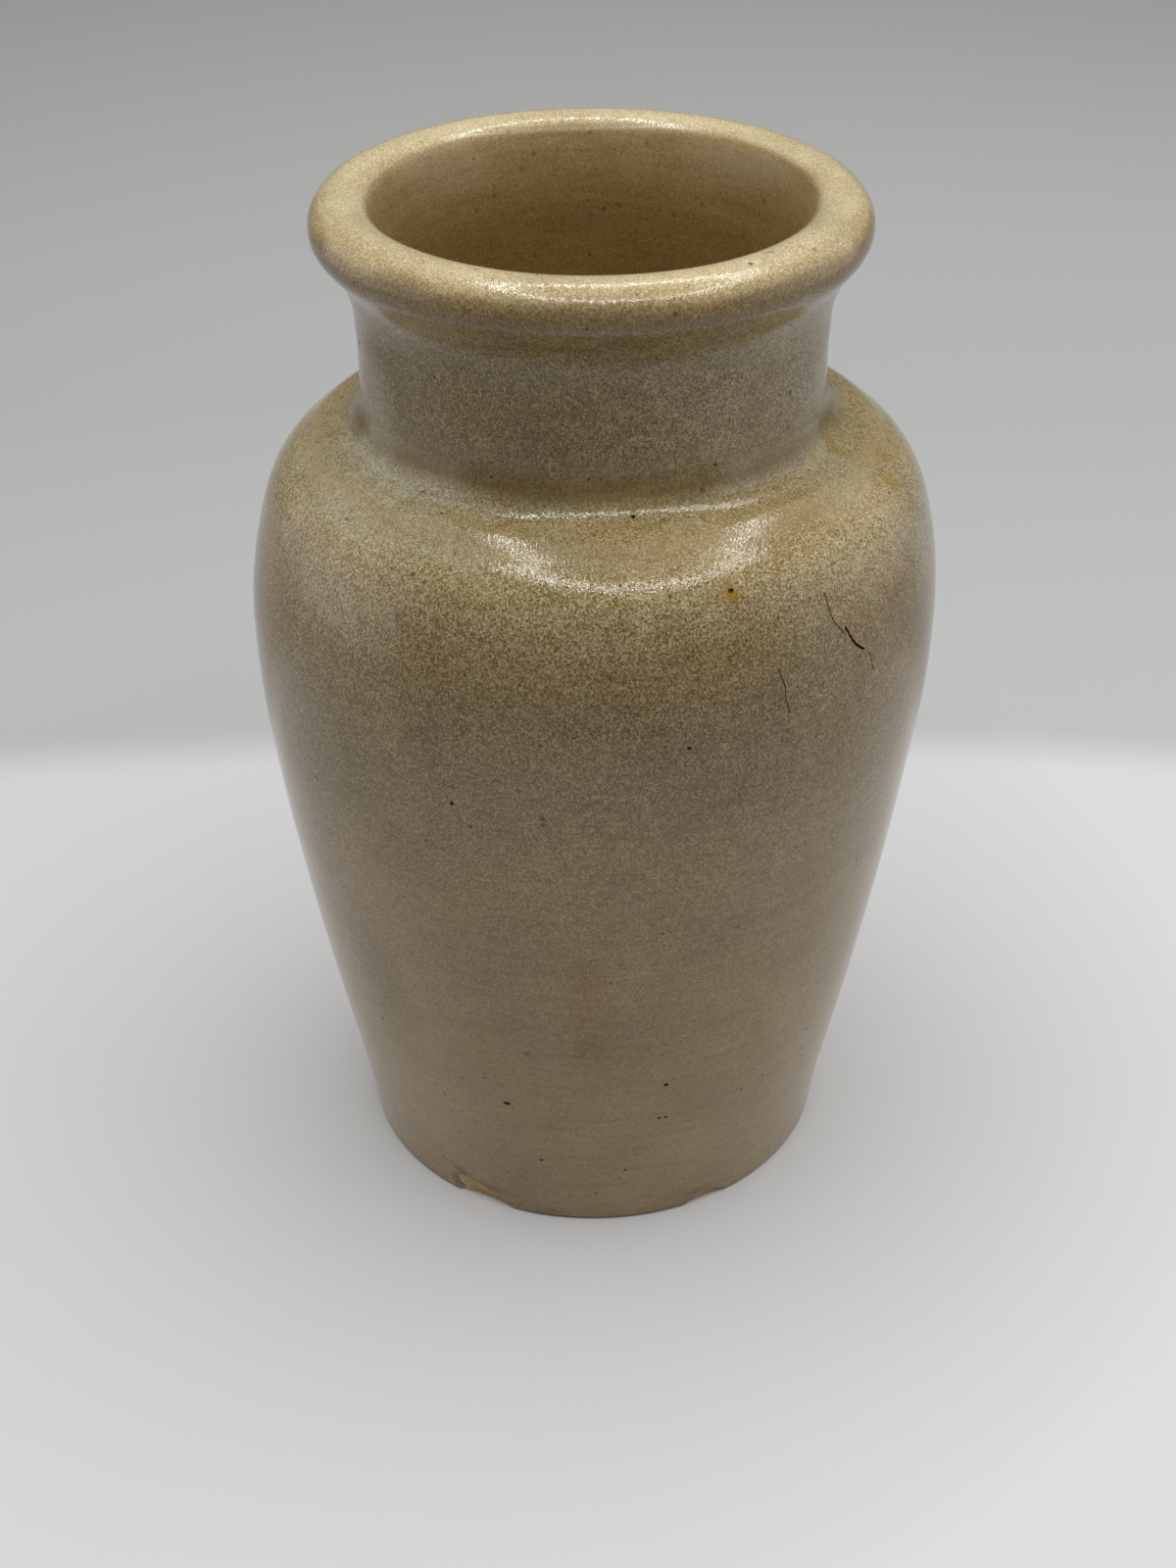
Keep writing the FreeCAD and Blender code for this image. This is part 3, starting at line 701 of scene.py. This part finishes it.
# Colours and pattern of the glaze. The eye sees a tan ground under a crowd of pale curds a quarter
# of a millimetre long, thickest where the glaze pooled on the shoulder, a smooth tan where it ran
# thin over the edge of the ledge, and small black specks. Pairs are a low and a high bound, or a
# factor and what is added.
glaze = {
    # by height, outside and inside; the dip at 96.8, under the rim's roll, is partly painted shade
    "colour": {0: "#927e5e", 20: "#8c7957", 45: "#857252", 57: "#7f6e4e", 65: "#806e4c", 69: "#8a7856",
               73: "#9a8866", 75.5: "#a69469", 77.5: "#a89367", 78.8: "#9e8d62", 79.6: "#8a784e",
               80.6: "#705e39", 82.5: "#7b6a49", 87: "#75633e", 91: "#7c6b46", 94: "#87785a",
               96.8: "#77643e", 98: "#947f59", 98.8: "#bca87d", 99.6: "#c6b68f"},
    "inside": {80: "#977b43", 90: "#937745", 96: "#8e764b", 98.5: "#977f54"},
    "insideRadius": (19.35, 20.15),
    "insideHeight": (1.5, 2.0),
    "driftSize": 5.0,                   # the heights of the colours waver
    "drift": 1.5,
    "cloudSize": 12.0,
    "cloudShade": {0.3: 0.9, 0.7: 1.1},
    "patchSize": 1.6,

    # curds, as grains and as worms between them
    "curdSize": 0.16,
    "curdStretch": (1, 1, 1.15),
    "curdPatches": 0.15,
    "curdBounds": (0.4, 0.68),
    "curdShare": 0.7,
    "wormSize": 0.36,
    "wormStretch": (1, 1, 1.3),
    "wormWidth": 0.075,
    "wormShare": 0.4,

    # swing of the curds' colour about the ground's, by height, with a fine grain and faint streaks
    "contrast": {0: 0.55, 20: 0.6, 32: 0.85, 45: 1.1, 56: 1.4, 64: 1.75, 70: 1.75, 76: 1.8, 77.1: 0.9,
                 77.9: 0.9, 78.4: 1.6, 79.6: 1.2, 80.6: 0.6, 82.5: 1.2, 84.5: 1.85, 91.5: 1.85,
                 94: 1.5, 96: 1.3, 98: 1.1, 99: 0.9, 100: 0.8},
    "insideContrast": 0.6,
    "curdSwing": (2.1, -0.84),
    "grainSize": 0.15,
    "grainSwing": 1.1,
    "streakSize": (7.0, 7.0, 0.5),
    "streakSwing": 1.0,
    "swing": (0.325, 0.385, 0.545),     # of red, green and blue

    # tints of the marks, stains and painted shade, and how far each shows
    "tints": {"brown": "#f3e0b6", "grey": "#d5d4cd", "umberAndShade": "#b7925a"},
    "tintPatches": (0.9, 0.45),
    "pale": "#c4c1ac",
    "paleCurds": (0.75, 0.15),
    "ochre": "#9a7a24",

    # specks and dust, one to a cell and crowded here and there
    "speck": "#2a2216",
    "speckSpacing": 2.1,
    "speckSize": 0.12,
    "speckSizes": (1.9, -0.35),         # over each cell's own draw, from 0 to 1
    "speckCrowding": (0.9, 0.4),
    "speckEdge": (0.6, 1.6),
    "speckNumber": (0.18, 0.3),         # cells whose draw lies under the bounds have none
    "speckShare": 0.85,
    "crowdSize": 7.0,
    "crowdBounds": (0.4, 0.7),
    "dustSpacing": 1.3,
    "dustEdge": (0.1, 0.42),
    "dustCrowding": (0.35, 0.17),

    # skin: ripples, slow swells and the specks as pinholes
    "rippleSize": 0.26,
    "rippleDepth": 0.026,
    "swellSize": 1.9,
    "swellShare": 0.6,
    "pinhole": -4.0,
    "roughness": 0.04,
    "curdRoughness": 0.14,
    "insideRoughness": 0.2,
    "ior": 1.5,
}


# Share of the pale curds in the glaze
def curdShare(tree, place, patch):
    grains = lumpsOf(tree, place, glaze["curdSize"], 1.0, 0.8, glaze["curdStretch"])
    patches = addNode(tree, "Math", minus, (patch, 0.5))
    grains = addNode(tree, "Math", timesPlus, (patches, glaze["curdPatches"], grains))
    grains = addNode(tree, "MapRange", easing, (grains, *glaze["curdBounds"]))
    middle = waverOf(tree, place, glaze["wormSize"], 1.0, 0.6, glaze["wormStretch"])
    away = addNode(tree, "Math", {"operation": "ABSOLUTE"}, [middle])
    ground = addNode(tree, "MapRange", easing, (away, 0.0, glaze["wormWidth"]))
    worms = addNode(tree, "Math", minus, (1.0, ground))
    worms = addNode(tree, "Math", times, (worms, glaze["wormShare"]))
    return addNode(tree, "Math", timesPlus, (grains, glaze["curdShare"], worms))


# How far the colour swings from the ground's at each point, towards pale above nought
def colourSwing(tree, place, height, inside, curd):
    outside = addNode(tree, "Math", minus, (1.0, inside))
    outer = addNode(tree, "Math", times, (outside, byHeight(tree, height, glaze["contrast"])))
    inner = addNode(tree, "Math", times, (inside, glaze["insideContrast"]))
    contrast = addNode(tree, "Math", plus, (inner, outer))
    swing = addNode(tree, "Math", timesPlus, (curd, *glaze["curdSwing"]))
    swing = addNode(tree, "Math", times, (swing, contrast))
    grain = waverOf(tree, place, glaze["grainSize"], 1.0)
    swing = addNode(tree, "Math", timesPlus, (grain, glaze["grainSwing"], swing))
    streak = waverOf(tree, place, 1.0, 2.0, 0.0, glaze["streakSize"])
    return addNode(tree, "Math", timesPlus, (streak, glaze["streakSwing"], swing))


# Lays the marks, stains and painted shade, over a colour
def stainedAndShaded(tree, colour, patch, curd):
    shown = {}
    for kind in stainsAndShade:
        shown[kind] = addNode(tree, "Attribute", {"attribute_name": kind}).outputs["Fac"]
    for kind, tint in glaze["tints"].items():
        share = addNode(tree, "Math", timesPlus, (patch, *glaze["tintPatches"]))
        share = addNode(tree, "Math", times, (shown[kind], share))
        tinted = addNode(tree, "Mix", tinting, {0: 1.0, 6: colour, 7: toLinear(tint)})
        colour = addNode(tree, "Mix", blending, {0: share, 6: colour, 7: tinted})
    share = addNode(tree, "Math", timesPlus, (curd, *glaze["paleCurds"]))
    share = addNode(tree, "Math", times, (shown["pale"], share))
    colour = addNode(tree, "Mix", blending, {0: share, 6: colour, 7: toLinear(glaze["pale"])})
    return addNode(tree, "Mix", blending, {0: shown["ochre"], 6: colour, 7: toLinear(glaze["ochre"])})


# Cells of a spacing in millimetres, as the distance from each middle, and each cell's own draw
def cellsOf(tree, place, spacing):
    cells = addNode(tree, "TexVoronoi", {}, {"Vector": place, "Scale": 1 / spacing})
    reach = addNode(tree, "Math", times, (cells.outputs["Distance"], spacing))
    return reach, addNode(tree, "SeparateColor", {}, [cells.outputs["Color"]])


# Lays the specks and the dust over a colour, and gives the share of the specks too
def specked(tree, place, colour):
    dark = toLinear(glaze["speck"])
    crowd = lumpsOf(tree, place, glaze["crowdSize"], 2.0)
    crowd = addNode(tree, "MapRange", easing, (crowd, *glaze["crowdBounds"]))

    reach, draw = cellsOf(tree, place, glaze["speckSpacing"])
    size = addNode(tree, "Math", timesPlus, (crowd, *glaze["speckCrowding"]))
    size = addNode(tree, "Math", times, (size, glaze["speckSize"]))
    sizes = addNode(tree, "Math", timesPlus, (draw, *glaze["speckSizes"]))
    size = addNode(tree, "Math", times, (size, sizes))
    reach = addNode(tree, "Math", over, (reach, size))
    ground = addNode(tree, "MapRange", easing, (reach, *glaze["speckEdge"]))
    speck = addNode(tree, "Math", minus, (1.0, ground))
    number = addNode(tree, "MapRange", easing, (draw, *glaze["speckNumber"]))
    speck = addNode(tree, "Math", times, (speck, number))
    share = addNode(tree, "Math", times, (speck, glaze["speckShare"]))
    colour = addNode(tree, "Mix", blending, {0: share, 6: colour, 7: dark})

    reach, draw = cellsOf(tree, place, glaze["dustSpacing"])
    reach = addNode(tree, "Math", over, (reach, draw))
    ground = addNode(tree, "MapRange", easing, (reach, *glaze["dustEdge"]))
    dust = addNode(tree, "Math", minus, (1.0, ground))
    crowding = addNode(tree, "Math", timesPlus, (crowd, *glaze["dustCrowding"]))
    dust = addNode(tree, "Math", times, (dust, crowding))
    return addNode(tree, "Mix", blending, {0: dust, 6: colour, 7: dark}), speck


def glazeFinish(name, hasStainsAndShade):
    material, tree = newMaterial(name)
    place, height, radius = measured(tree)
    drift = waverOf(tree, place, glaze["driftSize"], 3.0)
    drifted = addNode(tree, "Math", timesPlus, (drift, glaze["drift"], height))
    cloud = lumpsOf(tree, place, glaze["cloudSize"], 3.0)
    patch = lumpsOf(tree, place, glaze["patchSize"], 2.0)

    # the glaze's colour by height, other in the bore than outside, in soft clouds
    outward = addNode(tree, "MapRange", easing, (radius, *glaze["insideRadius"]))
    inward = addNode(tree, "Math", minus, (1.0, outward))
    above = addNode(tree, "MapRange", easing, (height, *glaze["insideHeight"]))
    inside = addNode(tree, "Math", times, (inward, above))
    outer = byHeight(tree, drifted, glaze["colour"])
    inner = byHeight(tree, drifted, glaze["inside"])
    colour = addNode(tree, "Mix", blending, {0: inside, 6: outer, 7: inner})
    clouds = addNode(tree, "ValToRGB", {}, [cloud], glaze["cloudShade"])
    colour = addNode(tree, "Mix", tinting, {0: 1.0, 6: colour, 7: clouds})

    curd = curdShare(tree, place, patch)
    swing = colourSwing(tree, place, drifted, inside, curd)
    lift = addNode(tree, "VectorMath", timesPlus, (swing, glaze["swing"], (1, 1, 1)))
    colour = addNode(tree, "VectorMath", times, (colour, lift))
    if hasStainsAndShade:
        colour = stainedAndShaded(tree, colour, patch, curd)
    colour, speck = specked(tree, place, colour)

    skin = lumpsOf(tree, place, glaze["rippleSize"], 1.5, 0.3)
    swell = lumpsOf(tree, place, glaze["swellSize"], 1.0)
    skin = addNode(tree, "Math", timesPlus, (swell, glaze["swellShare"], skin))
    skin = addNode(tree, "Math", timesPlus, (speck, glaze["pinhole"], skin))
    depth = glaze["rippleDepth"] * mm
    bumped = addNode(tree, "Bump", {}, {"Strength": 1.0, "Distance": depth, "Height": skin})
    dull = addNode(tree, "Math", timesPlus, (curd, glaze["curdRoughness"], glaze["roughness"]))
    dull = addNode(tree, "Math", timesPlus, (inside, glaze["insideRoughness"], dull))
    inputs = {"Base Color": colour, "Roughness": dull, "Normal": bumped, "IOR": glaze["ior"]}
    shader = addNode(tree, "BsdfPrincipled", {}, inputs)
    addNode(tree, "OutputMaterial", {}, {"Surface": shader})
    return material


# Painted shade in pits and cracks: near black to brown, dull
recessShade = {
    "dark": "#241a0e",
    "brown": "#4a3820",
    "patchSize": 0.3,
    "patchBounds": (0.4, 0.65),
    "roughness": 0.75,
}


def recessShadeFinish():
    material, tree = newMaterial("painted shade in pits and cracks")
    patch = lumpsOf(tree, measured(tree)[0], recessShade["patchSize"], 2.0)
    share = addNode(tree, "MapRange", easing, (patch, *recessShade["patchBounds"]))
    dark, brown = toLinear(recessShade["dark"]), toLinear(recessShade["brown"])
    colour = addNode(tree, "Mix", blending, {0: share, 6: dark, 7: brown})
    inputs = {"Base Color": colour, "Roughness": recessShade["roughness"]}
    shader = addNode(tree, "BsdfPrincipled", {}, inputs)
    addNode(tree, "OutputMaterial", {}, {"Surface": shader})
    return material


# Bare stoneware: buff, dry, with fine dark and pale grains of sand and a toasted tinge at the foot
bareClay = {
    "colour": "#b7986a",
    "pale": "#cdb88a",
    "patchSize": 3.0,
    "patchBounds": (0.4, 0.65),
    "toasted": "#b98f68",
    "toastedHeight": (0.2, 0.9),
    "toastedShare": 0.7,
    "grainSize": 0.16,
    "grainShade": {0.3: 0.72, 0.6: 1.1},
    "grainDepth": 0.02,
    "roughness": 0.85,
}


def clayFinish():
    material, tree = newMaterial("buff stoneware, bare")
    place, height, radius = measured(tree)
    grain = lumpsOf(tree, place, bareClay["grainSize"], 3.0)
    patch = lumpsOf(tree, place, bareClay["patchSize"], 3.0)
    share = addNode(tree, "MapRange", easing, (patch, *bareClay["patchBounds"]))
    buff, pale = toLinear(bareClay["colour"]), toLinear(bareClay["pale"])
    colour = addNode(tree, "Mix", blending, {0: share, 6: buff, 7: pale})
    above = addNode(tree, "MapRange", easing, (height, *bareClay["toastedHeight"]))
    toast = addNode(tree, "Math", minus, (1.0, above))
    share = addNode(tree, "Math", times, (toast, bareClay["toastedShare"]))
    colour = addNode(tree, "Mix", blending, {0: share, 6: colour, 7: toLinear(bareClay["toasted"])})
    sand = addNode(tree, "ValToRGB", {}, [grain], bareClay["grainShade"])
    colour = addNode(tree, "Mix", tinting, {0: 1.0, 6: colour, 7: sand})
    depth = bareClay["grainDepth"] * mm
    bumped = addNode(tree, "Bump", {}, {"Strength": 1.0, "Distance": depth, "Height": grain})
    inputs = {"Base Color": colour, "Roughness": bareClay["roughness"], "Normal": bumped}
    shader = addNode(tree, "BsdfPrincipled", {}, inputs)
    addNode(tree, "OutputMaterial", {}, {"Surface": shader})
    return material


outsideGlaze = buildOutsideGlaze()
print("outside coat of glaze turned", len(outsideGlaze.data.polygons))
liningGlaze = buildLiningGlaze()
print("lining turned", len(liningGlaze.data.polygons))
clayBody = buildClayBody()
print("clay body turned", len(clayBody.data.polygons))
cutter = buildWear(outsideGlaze)
worn(outsideGlaze, cutter)
worn(clayBody, cutter)
bpy.data.objects.remove(cutter)
print("chips, pits and cracks cut", len(outsideGlaze.data.polygons), len(clayBody.data.polygons))

paintStainsAndShade(outsideGlaze.data)
outsideGlaze.data.materials.append(glazeFinish("feldspar glaze, dipped", True))
liningGlaze.data.materials.append(glazeFinish("feldspar glaze, poured", False))
clayBody.data.materials.append(clayFinish())
recessShadeMaterial = recessShadeFinish()
outsideGlaze.data.materials.append(recessShadeMaterial)
clayBody.data.materials.append(recessShadeMaterial)
print("glazes and clay finished")

for piece, node, slotName in [(outsideGlaze, "outside_glaze", "outside_glaze"),
                              (liningGlaze, "lining_glaze", "lining_glaze"),
                              (clayBody, "stoneware_body", "stoneware")]:
    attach(piece, "root")
    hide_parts(node)


# Floor, camera and light

# White paper that runs on behind the pot as cloth: matt, grey beyond the near part, and paler with
# distance
floorPaper = {
    "halfWidth": 3000,
    "near": "#dededf",
    "far": "#c2c2c2",
    "farthest": "#efefee",
    "farthestFrom": (180, 560),
    "middle": (0, -60),
    "reach": (300, 128),     # half width and half depth of the near part
    "edge": (0.95, 1.05),    # of the near part, in reaches
    "roughness": 0.9,
}


def buildFloor():
    bm = bmesh.new()
    bmesh.ops.create_grid(bm, x_segments=2, y_segments=2, size=floorPaper["halfWidth"] * mm)
    mesh = bpy.data.meshes.new("paleFloor")
    bm.to_mesh(mesh)
    bm.free()
    floor = bpy.data.objects.new("paleFloor", mesh)
    bpy.context.scene.collection.objects.link(floor)
    material, tree = newMaterial("matt white paper")
    place = measured(tree)[0]
    reachX, reachY = floorPaper["reach"]
    moved = addNode(tree, "VectorMath", minus, (place, (*floorPaper["middle"], 0)))
    scaled = addNode(tree, "VectorMath", times, (moved, (1 / reachX, 1 / reachY, 0)))
    away = addNode(tree, "VectorMath", lengthOf, [scaled])
    depth = addNode(tree, "SeparateXYZ", {}, [place]).outputs[1]
    distant = addNode(tree, "MapRange", {}, (depth, *floorPaper["farthestFrom"]))
    far, farthest = toLinear(floorPaper["far"]), toLinear(floorPaper["farthest"])
    cloth = addNode(tree, "Mix", blending, {0: distant, 6: far, 7: farthest})
    share = addNode(tree, "MapRange", easing, (away, *floorPaper["edge"]))
    colour = addNode(tree, "Mix", blending, {0: share, 6: toLinear(floorPaper["near"]), 7: cloth})
    inputs = {"Base Color": colour, "Roughness": floorPaper["roughness"]}
    shader = addNode(tree, "BsdfPrincipled", {}, inputs)
    addNode(tree, "OutputMaterial", {}, {"Surface": shader})
    floor.data.materials.append(material)


# The photograph's view: the camera's place, and its turn down and about its own axis
view = {
    "place": (-0.69, -192.29, 163.79),
    "lookDown": 33.266,
    "roll": -0.282,
    "lens": 51.75,
    "sensor": 36.0,
    "near": 10,
}


def buildCamera():
    data = bpy.data.cameras.new("camera")
    data.lens = view["lens"]
    data.sensor_width = view["sensor"]
    data.clip_start = view["near"] * mm
    camera = bpy.data.objects.new("camera", data)
    tilt = Matrix.Rotation(math.radians(90 - view["lookDown"]), 4, "X")
    roll = Matrix.Rotation(math.radians(view["roll"]), 4, "Z")
    camera.matrix_world = Matrix.Translation(Vector(view["place"]) * mm) @ tilt @ roll
    bpy.context.scene.collection.objects.link(camera)
    bpy.context.scene.camera = camera


# A light tent: a ring of thin bright lamps above its opening, and pale cloth above and beside the pot
lighting = {
    "ringHeight": 400,
    "ringMiddle": (55, -50),
    "ringReach": (170, 190),
    "ringWidth": 9,
    "ringLamps": 20,
    "ringOverlap": 1.04,
    "ringPower": 1.28,
    "roofSize": (800, 800),
    "roofPlace": (20, 20, 520),
    "roofPower": 0.94,
    "wallAway": 330,
    "wallMiddle": 20,        # along Y
    "wallFoot": 5,           # above the floor
    "wallSize": (420, 330),  # depth and height
    "leftWallPower": 0.3,
    "rightWallPower": 0.31,
    "worldColour": "#d8d8d6",
    "worldStrength": 0.22,
    "backdropColour": "#adadb0",
}


def addLamp(name, place, size, power, towards=None):
    data = bpy.data.lights.new(name, "AREA")
    data.shape = "RECTANGLE"
    data.size = size[0] * mm
    data.size_y = size[1] * mm
    data.energy = power
    lamp = bpy.data.objects.new(name, data)
    lamp.location = Vector(place) * mm
    if towards is not None:
        aim = Vector(towards) * mm - lamp.location
        lamp.rotation_euler = aim.to_track_quat("-Z", "Y").to_euler()
    bpy.context.scene.collection.objects.link(lamp)
    return lamp


def buildLight():
    middleX, middleY = lighting["ringMiddle"]
    reachX, reachY = lighting["ringReach"]
    count = lighting["ringLamps"]
    for i in range(count):
        turn = 2 * math.pi * (i + 0.5) / count
        along = Vector((-reachX * math.sin(turn), reachY * math.cos(turn)))
        place = (middleX + reachX * math.cos(turn), middleY + reachY * math.sin(turn))
        size = (along.length * 2 * math.pi / count * lighting["ringOverlap"], lighting["ringWidth"])
        power = lighting["ringPower"] / count
        lamp = addLamp("ring" + str(i), (*place, lighting["ringHeight"]), size, power)
        lamp.rotation_euler.z = math.atan2(along.y, along.x)
    addLamp("roof", lighting["roofPlace"], lighting["roofSize"], lighting["roofPower"])
    away, size = lighting["wallAway"], lighting["wallSize"]
    middle = (lighting["wallMiddle"], size[1] / 2 + lighting["wallFoot"])
    for side, name in ((-1, "leftWall"), (1, "rightWall")):
        addLamp(name, (side * away, *middle), size, lighting[name + "Power"], towards=(0, *middle))
    world = bpy.data.worlds.new("studio")
    bpy.context.scene.world = world
    world.use_nodes = True
    tree = world.node_tree
    tree.nodes.clear()
    # the camera sees a plain grey backdrop in place of the glow
    seen = addNode(tree, "LightPath").outputs["Is Camera Ray"]
    glow = {"Color": toLinear(lighting["worldColour"]), "Strength": lighting["worldStrength"]}
    backdrop = {"Color": toLinear(lighting["backdropColour"]), "Strength": 1.0}
    shades = [addNode(tree, "Background", {}, inputs) for inputs in (glow, backdrop)]
    shown = addNode(tree, "MixShader", {}, (seen, *shades))
    addNode(tree, "OutputWorld", {}, {"Surface": shown})


buildFloor()
buildCamera()
buildLight()
bpy.context.scene.view_settings.view_transform = "Standard"
print("floor, camera and light placed")
